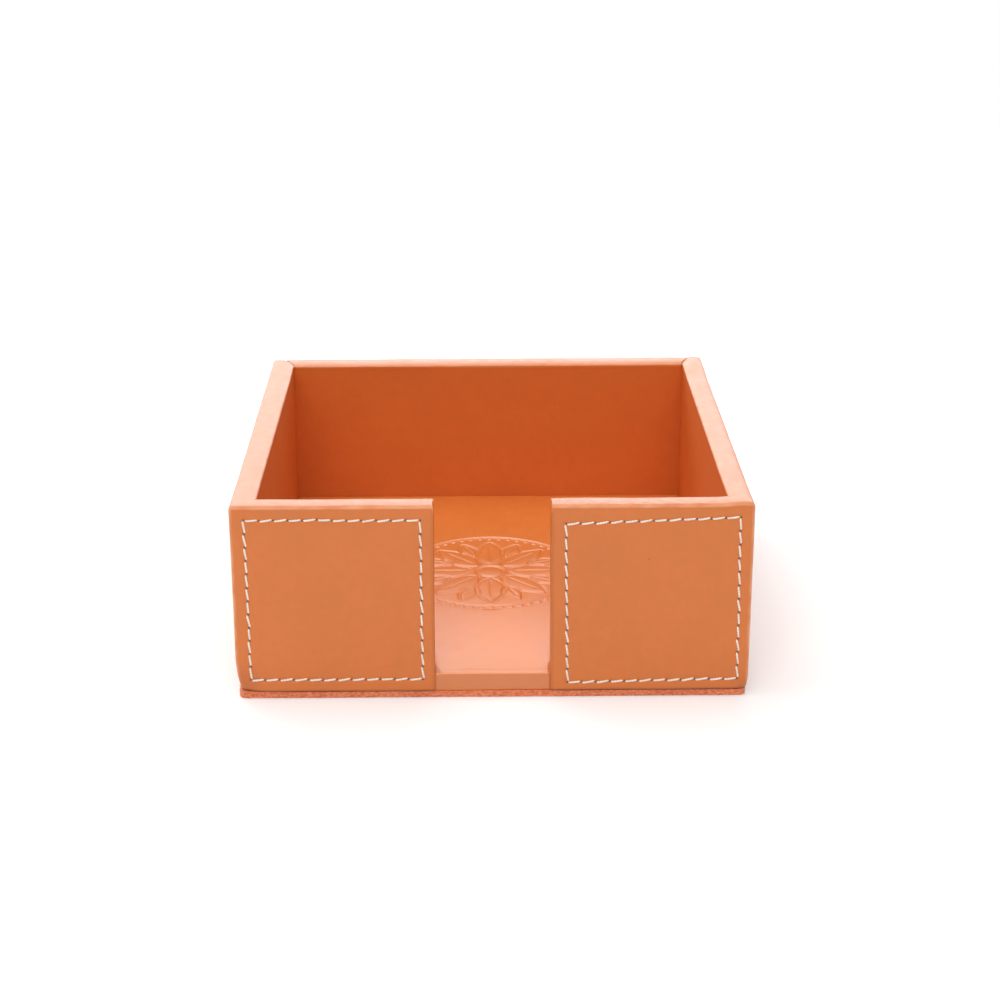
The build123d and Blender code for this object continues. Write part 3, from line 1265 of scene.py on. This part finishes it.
@dataclass
class WellLining:
    """Leather sheets inside the four walls, with rolled edges that meet in the corners."""

    sizes: TraySizes
    top: float
    rear_top: float
    notch_end: float
    leather: float = 0.7

    def sheet(self, name: str, start: Plan, end: Plan, top: float, seed: int) -> Piece:
        """Builds one upright sheet that looks to the left of its run.

        Args:
            name: Name of the piece.
            start: First end in plan.
            end: Other end in plan.
            top: Height of its upper edge.
            seed: Seed of its waves.

        Returns:
            The closed sheet.
        """
        begin, finish = np.array(start), np.array(end)
        length = float(np.linalg.norm(finish - begin))
        along, up = graded(0, length, 1.5), graded(self.sizes.base_top, top, 1.5)
        flat = begin + along[:, None] / length * (finish - begin)
        grid = np.empty((len(along), len(up), 3))
        grid[:, :, :2] = flat[:, None, :]
        grid[:, :, 2] = up[None, :]
        draft = Draft(name)
        draft.add_grid(grid)
        piece = draft.weld()

        def relief(points: np.ndarray, _: np.ndarray) -> np.ndarray:
            """Gives the sheet's waves and rolled edges."""
            run = np.linalg.norm(points[:, :2] - begin, axis=1)
            corner = np.minimum(run, length - run)
            return 0.05 * waves(points, 23, seed) - 0.05 - 0.03 * ridge(corner, 0.4)

        displace(piece, relief)
        thicken(piece, self.leather)
        return piece

    def dress(self) -> None:
        """Builds the five sheets and hands them over."""
        well, end = self.sizes.half_well, self.notch_end
        far = well + 0.12
        runs = {
            "left_lining": ((-well, -far), (-well, far)),
            "right_lining": ((well, far), (well, -far)),
            "back_lining": ((-far, well), (far, well)),
            "front_left_lining": ((-end, -well), (-far, -well)),
            "front_right_lining": ((far, -well), (end, -well)),
        }
        finish = LINING_LEATHER.material()
        for seed, (node, (start, finish_at)) in enumerate(runs.items()):
            top = self.rear_top if node == "back_lining" else self.top
            piece = self.sheet(f"{node}_leather", start, finish_at, top, 40 + seed)
            hand_over(piece, node, Slot.LINING, finish)


@dataclass
class Rosette:
    """Blind-pressed rosette with eight petals, a boss and a beaded border."""

    radius: float = 22.4
    centre_along: float = -2.2
    depth: float = 0.4
    petals: int = 8
    petal: Triple = (4.4, 18.8, 3.6)
    leaflet: Triple = (10.2, 18.6, 2.2)
    boss: Plan = (2.8, 3.3)
    line_width: float = 0.42
    border_inset: float = 1.15
    beads: int = 56
    bead_radius: float = 0.8

    def from_ray(self, angle: np.ndarray, count: int) -> np.ndarray:
        """Gives the angle from the nearest of a count of even rays."""
        step = math.tau / count
        return (angle + step / 2) % step - step / 2

    def leaf(self, radial: np.ndarray, turn: np.ndarray, shape: Triple) -> np.ndarray:
        """Presses a ring of leaves.

        Args:
            radial: Distance from the middle.
            turn: Angle from the middle line of the nearest leaf.
            shape: Distances at which a leaf begins and ends, and half of its greatest width.

        Returns:
            Height of the leaves, from outline, vein and crowned blade.
        """
        start, end, width = shape
        along = (radial * np.cos(turn) - start) / (end - start)
        across = np.abs(radial * np.sin(turn))
        inside = np.clip(along, 0, 1)
        half = width * np.sin(math.pi * inside**0.8) ** 0.8
        on = (along > 0) & (along < 1)
        outline = ridge(across - half, self.line_width) * on
        blade = np.clip(1 - np.square(across / np.maximum(half, 0.2)), 0, 1) * on
        vein = ridge(across, 0.34) * smooth(inside, 0.06, 0.2) * (1 - smooth(inside, 0.62, 0.85)) * on
        return -1.0 * outline + 0.55 * blade - 0.6 * vein

    def height(self, across: np.ndarray, along: np.ndarray) -> np.ndarray:
        """Gives the pressed relief on the floor.

        Args:
            across: Places across the floor.
            along: Places along the floor.

        Returns:
            Height in millimetres.
        """
        near = along - self.centre_along
        radial, angle = np.hypot(across, near), np.arctan2(near, across)
        step = math.tau / self.petals
        border = self.radius - self.border_inset
        bead_away = np.hypot(radial - border, border * self.from_ray(angle, self.beads))
        band = smooth(radial, border - 1.25, border - 0.85)
        band = band * (1 - smooth(radial, border + 0.85, border + 1.25))
        relief = self.leaf(radial, self.from_ray(angle, self.petals), self.petal)
        between = self.leaf(radial, angle % step - step / 2, self.leaflet)
        relief = np.where(np.abs(between) > np.abs(relief), between, relief)
        relief += -0.9 * band + 1.0 * np.clip(1 - np.square(bead_away / self.bead_radius), 0, 1)
        crown, ring = self.boss
        dome = 0.6 * np.clip(1 - np.square(radial / crown), 0, 1)
        relief += -1.0 * ridge(radial - ring, self.line_width) + dome
        return self.depth * relief


@dataclass
class PaddedFloor:
    """Floor leather over thin padding, pressed with a rosette and drawn over the sill at the notch."""

    sizes: TraySizes
    rosette: Rosette
    brow: float = 100.0
    nose_radius: float = 0.5
    nose_ease: float = 0.2
    leather: float = 0.85
    fill: float = 0.8
    nose_rub: float = 0.3
    # Strength of the painted shade on the sill face
    painted_sill_shade: float = 0.24
    left_fold: tuple[float, ...] = (1.15, 0.05, 0.12, 0.13, -0.25)
    right_fold: tuple[float, ...] = (0.5, 0.04, 0.1, 0.1, -0.2)

    def section(self) -> np.ndarray:
        """Gives the floor's line from the back wall over the sill.

        Returns:
            Place along, height, and the normal's two parts, for each row.
        """
        well, top = self.sizes.half_well, self.sizes.floor_top
        nose = (self.sizes.sill_face + self.nose_radius, self.sizes.base_top)
        start = nose[0] + self.brow - self.nose_ease
        run, rise = start - nose[0], top - nose[1]
        bend = (run**2 + rise**2 - self.nose_radius**2) / (2 * (rise - self.nose_radius))
        lean = math.degrees(math.asin(run / (bend - self.nose_radius)))
        far = self.rosette.centre_along + self.rosette.radius
        near = self.rosette.centre_along - self.rosette.radius
        places = np.concatenate(
            [
                well - graded(0, well - far, 1.3)[:-1],
                np.arange(far, near, -0.21),
                np.linspace(near, -well, 32),
                np.linspace(-well, nose[0] - self.nose_radius * math.sin(math.radians(lean)), 14)[1:],
            ]
        )
        drop = np.clip(start - places, 0, None)
        heights = top - bend + np.sqrt(bend**2 - drop**2)
        flat = np.column_stack((places, heights, -drop / bend, np.sqrt(1 - (drop / bend) ** 2)))
        turn = arc((0, 0), 1, 90 + lean, 180, 12)[1:]
        over = np.column_stack((turn * self.nose_radius + nose, turn))
        fall = np.linspace(nose[1], self.sizes.sill_low, 10)[1:]
        face = np.column_stack((np.full(9, self.sizes.sill_face), fall, np.full(9, -1.0), np.zeros(9)))
        return np.concatenate([flat, over, face])

    def columns(self) -> np.ndarray:
        """Gives the places across of the floor's columns, closer together under the rosette."""
        step = self.sizes.half_notch / 62
        count = math.ceil(self.rosette.radius / step)
        fine = np.arange(-count, count + 1) * step
        outer = -graded(fine[-1], self.sizes.half_well, 1.3)[::-1]
        return np.concatenate([outer[:-1], fine, -outer[::-1][1:]])

    def hand_work(self, across: np.ndarray, along: np.ndarray, height: np.ndarray) -> np.ndarray:
        """Gives the floor's relief: rosette, rolled edges, soft waves and small folds at the notch.

        Args:
            across: Places across.
            along: Places along.
            height: Heights.

        Returns:
            Distance along the normal.
        """
        well, notch = self.sizes.half_well, self.sizes.half_notch
        inside = along > -well - 0.01
        wide = np.minimum(well - np.abs(across), well - along)
        wide = np.where(np.abs(across) > notch, np.minimum(wide, along + well), wide)
        edge = np.where(inside, wide, notch - np.abs(across))
        flat = np.column_stack((across.ravel(), along.ravel(), height.ravel()))
        relief = 0.06 * waves(flat, 26, seed=61).reshape(across.shape) - 0.08
        relief += 0.02 * waves(flat, 5, seed=62).reshape(across.shape)
        relief -= np.where(inside, 0.4 * ridge(edge, 0.5), 0.14 * ridge(edge, 0.3))
        relief += np.where(inside, self.rosette.height(across, along), 0)
        face, base = self.sizes.sill_face, self.sizes.base_top
        relief -= np.where(inside, 0, 0.3 * ridge(height - self.sizes.sill_low, 0.4))
        relief -= np.where(height > base + 0.2, 0.07 * ridge(along - face - 1.3, 0.35), 0)
        near = smooth(-along, 44, 56.6) * smooth(height, base - 0.6, base + 0.3)
        folds = ((across + notch, self.left_fold), (notch - across, self.right_fold))
        for place, (drawn, roll, at, dip, low) in folds:
            place = place - drawn * near
            relief += near * (roll * ridge(place - at, 0.2) - dip * (1 - smooth(place, low, 0.1)))
        return relief

    def wear_and_painted_light(self, _: np.ndarray, normals: np.ndarray) -> np.ndarray:
        """Gives where the floor leather is rubbed over the nose, and the painted shade on the sill face."""
        face = np.clip(-normals[:, 1], 0, 1)
        # Sill face darker: painted shade; the nose paler as rubbed wear
        return self.nose_rub * ridge(face - 0.6, 0.25) - self.painted_sill_shade * smooth(face, 0.75, 1)

    def build(self) -> Piece:
        """Builds the floor leather.

        Returns:
            The closed leather.
        """
        rows, columns = self.section(), self.columns()
        notch = self.sizes.half_notch
        across, along = np.meshgrid(columns, rows[:, 0], indexing="xy")
        height = np.repeat(rows[:, 1][:, None], len(columns), axis=1)
        lift = self.hand_work(across, along, height)
        normal = np.zeros((len(rows), 1, 3))
        normal[:, 0, 1:] = rows[:, 2:]
        top = np.stack((across, along, height), -1) + normal * lift[:, :, None]
        keys = np.array([0, *np.flatnonzero(np.isclose(np.abs(columns), notch)), len(columns) - 1])
        low = np.stack((across, along, height), -1)[:, keys] - normal * self.leather
        step = int(np.argmin(np.abs(rows[:, 0] + self.sizes.half_well)))
        piece = self.closed("padded_floor_leather", top, low, (int(keys[1]), int(keys[2])), step)
        piece.data.set_sharp_from_angle(angle=SHARP)
        return piece

    def build_padding(self) -> Piece:
        """Builds the foam between the floor leather and the base board.

        Returns:
            The closed foam.
        """
        rows = self.section()
        rows = rows[rows[:, 3] > 0.35]
        well, notch = self.sizes.half_well - 0.1, self.sizes.half_notch - 0.1
        inset = self.leather + 0.05
        columns = np.array([-well, -notch, notch, well])
        across, along = np.meshgrid(columns, rows[:, 0] - inset * rows[:, 2], indexing="xy")
        height = np.repeat((rows[:, 1] - inset * rows[:, 3])[:, None], 4, axis=1)
        upper = np.stack((across, along, np.maximum(height, self.sizes.base_top + 0.05)), -1)
        lower = np.stack((across, along, np.full(across.shape, self.sizes.base_top)), -1)
        step = int(np.argmin(np.abs(rows[:, 0] + self.sizes.half_well)))
        return self.closed("floor_padding_foam", upper, lower, (1, 2), step)

    def closed(
        self, name: str, top: np.ndarray, low: np.ndarray, tongue: tuple[int, int], step: int
    ) -> Piece:
        """Closes an upper and a lower surface to a body that narrows to the tongue in the notch.

        Args:
            name: Name of the piece.
            top: Grid of the upper points, along by across.
            low: Grid of the lower points, with four columns.
            tongue: Columns of the upper grid at the sides of the tongue.
            step: Row at which the body narrows.

        Returns:
            The closed piece.
        """
        draft = Draft(name)
        front, back = draft.add_points(top), draft.add_points(low)
        first, last = tongue
        draft.add_quads(front[: step + 1].T)
        draft.add_quads(front[step:, first : last + 1].T)
        draft.add_quads(back[: step + 1].T[::-1])
        draft.add_quads(back[step:, 1:3].T[::-1])
        draft.add_quads(np.stack((back[: step + 1, 0], front[: step + 1, 0])))
        draft.add_quads(np.stack((front[: step + 1, -1], back[: step + 1, 3])))
        draft.add_quads(np.stack((back[step:, 1], front[step:, first])))
        draft.add_quads(np.stack((front[step:, last], back[step:, 2])))
        draft.faces.append([*front[0], *back[0, ::-1]])
        draft.faces.append([*front[-1, first : last + 1][::-1], back[-1, 1], back[-1, 2]])
        draft.faces.append([*front[step, : first + 1][::-1], back[step, 0], back[step, 1]])
        draft.faces.append([*front[step, last:][::-1], back[step, 2], back[step, 3]])
        return draft.weld(turn_out=True)

    def dress(self) -> None:
        """Builds the floor leather and its padding and hands them over."""
        hand_over(self.build_padding(), "floor_padding", Slot.FOAM, FLOOR_FOAM.material())
        piece = self.build()
        mark(piece, self.wear_and_painted_light)
        hand_over(piece, "floor_leather", Slot.FLOOR, FLOOR_LEATHER.material())


@dataclass
class SuedeBase:
    """Suede pad under the tray, with an uneven cut edge and loose fibres."""

    corner_radius: float = 1.8
    edge_radius: float = 0.3
    fibre_length: float = 0.34
    fibre_radius: float = 0.028
    fibre_sides: int = 3
    fibre_lean: float = 0.9
    fibres: float = 3.4
    inset: float = 0.12
    clearance: float = 0.02
    seed: int = 5

    def build(self) -> Piece:
        """Builds the pad with its fibres.

        Returns:
            The pad as one mesh.
        """
        low, high = (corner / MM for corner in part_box("base_pad"))
        half_x, half_y = high.x - self.inset, high.y - self.inset
        bottom, top, round_off = low.z + self.clearance, high.z - self.clearance, self.edge_radius

        def plan(depth: float) -> np.ndarray:
            """Gives the pad's outline in plan at a depth from its edge."""
            radius = max(self.corner_radius - depth, 0.3)
            x, y = half_x - depth - radius, half_y - depth - radius
            return chain(
                line((-x, -y - radius), (x, -y - radius), 180),
                arc((x, -y), radius, 270, 360, 8),
                line((x + radius, -y), (x + radius, y), 180),
                arc((x, y), radius, 0, 90, 8),
                line((x, y + radius), (-x, y + radius), 180),
                arc((-x, y), radius, 90, 180, 8),
                line((-x - radius, y), (-x - radius, -y), 180),
                arc((-x, -y), radius, 180, 270, 8),
            )

        rows = chain(
            line((6, bottom), (round_off, bottom), 5),
            arc((round_off, bottom + round_off), round_off, 270, 180, 4),
            line((0, bottom + round_off), (0, top - round_off), 4),
            arc((round_off, top - round_off), round_off, 180, 90, 4),
            line((round_off, top), (6, top), 5),
        )
        draft = Draft("suede_base_pad")
        index = draft.add_points(sweep(plan, rows))
        draft.add_quads(index)
        draft.faces.append(index[:-1, 0][::-1].tolist())
        draft.faces.append(index[:-1, -1].tolist())
        piece = draft.weld()

        def relief(points: np.ndarray, normals: np.ndarray) -> np.ndarray:
            """Gives the cut edge's unevenness and nap."""
            rim = 1 - np.abs(normals[:, 2])
            rough = 0.1 * waves(points, 1.1, seed=71) + 0.08 * waves(points, 0.55, seed=72)
            rough = rough + 0.16 * waves(points, 14, seed=73)
            return rim * (rough - 0.14) - 0.01

        displace(piece, relief)
        return self.nap(piece)

    def nap(self, piece: Piece) -> Piece:
        """Puts loose fibres on the pad's edge.

        Args:
            piece: Plain pad.

        Returns:
            The pad with its fibres as one mesh.
        """
        finish = PAD_SUEDE.material()
        tree = GeometryTree("suede fibres")
        length = tree.size("Fibre Length", self.fibre_length * MM)
        radius = tree.size("Fibre Radius", self.fibre_radius * MM)
        density = tree.size("Fibres Per Area", self.fibres / (MM * MM))
        seed = tree.size("Seed", self.seed)
        body = tree.source.outputs["Geometry"]
        normal = tree.add("GeometryNodeInputNormal").outputs[0]
        upright = tree.add("ShaderNodeSeparateXYZ", {0: normal}).outputs["Z"]
        edge = tree.math("LESS_THAN", tree.math("ABSOLUTE", upright), 0.75)
        spread = {"Mesh": body, "Selection": edge, "Density": density, "Seed": seed}
        points = tree.add("GeometryNodeDistributePointsOnFaces", spread)
        bend = {"Start": (0, 0, 0), "Middle": tree.vector(0.0, 0.0, length), "Resolution": 3}
        bend["End"] = tree.vector(tree.math("MULTIPLY", length, 0.8), 0.0, length)
        run = tree.add("GeometryNodeCurveQuadraticBezier", bend).outputs["Curve"]
        fibre = tree.tube(run, self.fibre_sides, radius)
        bow = self.fibre_lean
        lean = tree.vector(
            tree.random(-bow, bow, seed),
            tree.random(-bow, bow, tree.math("ADD", seed, 1.0)),
            tree.random(0.0, 6.28, seed),
        )
        turn = tree.tilted(points.outputs["Rotation"], lean)
        scale = tree.random(0.45, 1.0, tree.math("ADD", seed, 2.0))
        placed = {"Points": points.outputs["Points"], "Instance": fibre, "Rotation": turn, "Scale": scale}
        fibres = tree.add("GeometryNodeInstanceOnPoints", placed).outputs[0]
        tree.run(piece, tree.real(body, finish), tree.real(fibres, finish))
        for vertex in piece.data.vertices:
            vertex.co.z = max(vertex.co.z, 0.0)
        return piece

    def dress(self) -> None:
        """Builds the pad and hands it over."""
        piece = self.build()
        hand_over(piece, "base_pad", Slot.SUEDE, piece.data.materials[0])


@dataclass
class HiddenCores:
    """Boards that stay as the frame has them, under the leather."""

    boards: tuple[str, ...] = (
        "base_board", "left_board", "right_board", "back_board", "front_left_board", "front_right_board",
    )

    def dress(self) -> None:
        """Gives the boards their finish."""
        finish = WALL_BOARD.material()
        for name in self.boards:
            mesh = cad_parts[name].data
            mesh.materials.clear()
            mesh.materials.append(finish)
            LOG.info("%s: finished as %s", name, finish.name)


@dataclass(frozen=True)
class Softbox:
    """One large soft lamp."""

    name: str
    place: Triple
    aim: Triple
    width: float
    height: float
    power: float

    def build(self) -> None:
        """Hangs the lamp."""
        lamp = bpy.data.lights.new(self.name, "AREA")
        lamp.shape = "RECTANGLE"
        lamp.size, lamp.size_y = self.width, self.height
        lamp.energy = self.power
        holder = stand(self.name, lamp)
        holder.location = self.place
        facing = Vector(self.aim) - Vector(self.place)
        holder.rotation_euler = facing.to_track_quat("-Z", "Y").to_euler()


@dataclass
class Studio:
    """Pale floor, soft light and the camera."""

    camera_place: Triple = (-0.003933, -0.480505, 0.199952)
    pitch: float = 19.839
    yaw: float = 0.759
    roll: float = -0.061
    lens: float = 74.486
    floor_half: float = 4.0
    floor_level: float = -0.00002
    floor_tone: float = 0.9
    floor_glow: float = 0.2
    white_from: float = 0.4
    sky: float = 0.42

    def seen(self, nodes: Nodes) -> Socket:
        """Gives 1 for what the camera sees directly, in gloss or through glass."""
        path = nodes.add("ShaderNodeLightPath").outputs
        gloss = nodes.math("MAXIMUM", path["Is Glossy Ray"], path["Is Transmission Ray"])
        return nodes.math("MAXIMUM", path["Is Camera Ray"], gloss)

    def floor(self) -> None:
        """Lays the floor."""
        half, level = self.floor_half, self.floor_level
        mesh = bpy.data.meshes.new("studio_floor")
        corners = [(-half, -half, level), (half, -half, level), (half, half, level), (-half, half, level)]
        mesh.from_pydata(corners, [], [(0, 1, 2, 3)])
        material = bpy.data.materials.new("white sweep")
        material.use_nodes = True
        nodes = Nodes(material.node_tree)
        paper = nodes.add("ShaderNodeBsdfDiffuse", {"Color": (*[self.floor_tone] * 3, 1)})
        lift = nodes.math("MULTIPLY", self.seen(nodes), self.floor_glow)
        glow = nodes.add("ShaderNodeEmission", {"Color": (1, 1, 1, 1), "Strength": lift})
        both = nodes.add("ShaderNodeAddShader", {0: paper.outputs[0], 1: glow.outputs[0]})
        place = nodes.add("ShaderNodeTexCoord").outputs["Object"]
        distance = nodes.add("ShaderNodeVectorMath", {0: place}, operation="LENGTH").outputs["Value"]
        away = nodes.remap(distance, self.white_from, 2 * self.white_from)
        seen = nodes.math("MULTIPLY", self.seen(nodes), away)
        white = nodes.add("ShaderNodeEmission", {"Color": (1, 1, 1, 1), "Strength": 1.0})
        mixed = nodes.add("ShaderNodeMixShader", {0: seen, 1: both.outputs[0], 2: white.outputs[0]})
        nodes.add("ShaderNodeOutputMaterial", {"Surface": mixed.outputs[0]})
        mesh.materials.append(material)
        stand("studio_floor", mesh)

    def surroundings(self) -> None:
        """Sets the even light round the tray."""
        world = bpy.data.worlds.new("studio")
        world.use_nodes = True
        bpy.context.scene.world = world
        nodes = Nodes(world.node_tree)
        dim = nodes.add("ShaderNodeBackground", {"Color": (1, 1, 1, 1), "Strength": self.sky})
        white = nodes.add("ShaderNodeBackground", {"Color": (1, 1, 1, 1), "Strength": 1.0})
        both = {0: self.seen(nodes), 1: dim.outputs[0], 2: white.outputs[0]}
        mixed = nodes.add("ShaderNodeMixShader", both)
        nodes.add("ShaderNodeOutputWorld", {"Surface": mixed.outputs[0]})

    def camera(self) -> None:
        """Places the camera at the photograph's view."""
        pitch, yaw, roll = (math.radians(angle) for angle in (self.pitch, self.yaw, self.roll))
        ahead = Vector((math.sin(yaw) * math.cos(pitch), math.cos(yaw) * math.cos(pitch), -math.sin(pitch)))
        level = Vector((math.cos(yaw), -math.sin(yaw), 0))
        upward = level.cross(ahead)
        right = math.cos(roll) * level + math.sin(roll) * upward
        up = math.cos(roll) * upward - math.sin(roll) * level
        turn = Matrix((right, up, -ahead)).transposed().to_4x4()
        data = bpy.data.cameras.new("camera")
        data.sensor_width, data.lens = 36.0, self.lens
        camera = stand("camera", data)
        camera.matrix_world = Matrix.Translation(self.camera_place) @ turn
        bpy.context.scene.camera = camera

    def build(self) -> None:
        """Sets up the whole studio."""
        bpy.context.scene.view_settings.view_transform = "Standard"
        self.floor()
        self.surroundings()
        self.camera()
        for lamp in (
            Softbox("overhead", (-0.2, 0.05, 1.25), (0, 0, 0.02), 1.1, 1.1, 7.6),
            Softbox("behind", (-0.4, 1.3, 0.6), (0, 0, 0.04), 2.15, 0.54, 9.8),
            Softbox("front", (-0.1, -1.25, 0.95), (0, 0, 0.03), 1.2, 0.8, 8.3),
        ):
            lamp.build()


def main() -> None:
    """Builds the memo holder's pieces in order."""
    logging.basicConfig(level=logging.INFO, format="%(name)s: %(message)s")
    Studio().build()
    sizes = TraySizes.from_frame()
    LOG.info("sizes in mm: %s", sizes)
    panels = {side: SewnPanel(side, sizes, DRIFT[side], HOLE_SEED[side]) for side in Side}
    snug = replace(sizes, half_notch=sizes.half_notch - NOTCH_OVERHANG)
    covers = WallCovers(snug, panels)
    covers.dress()
    Sewing(sizes, panels).dress()
    WellLining(snug, covers.lip_low, covers.rear_lip_low, snug.half_notch + covers.notch_radius).dress()
    PaddedFloor(snug, Rosette()).dress()
    SuedeBase().dress()
    HiddenCores().dress()


if __name__ == "__main__":
    main()
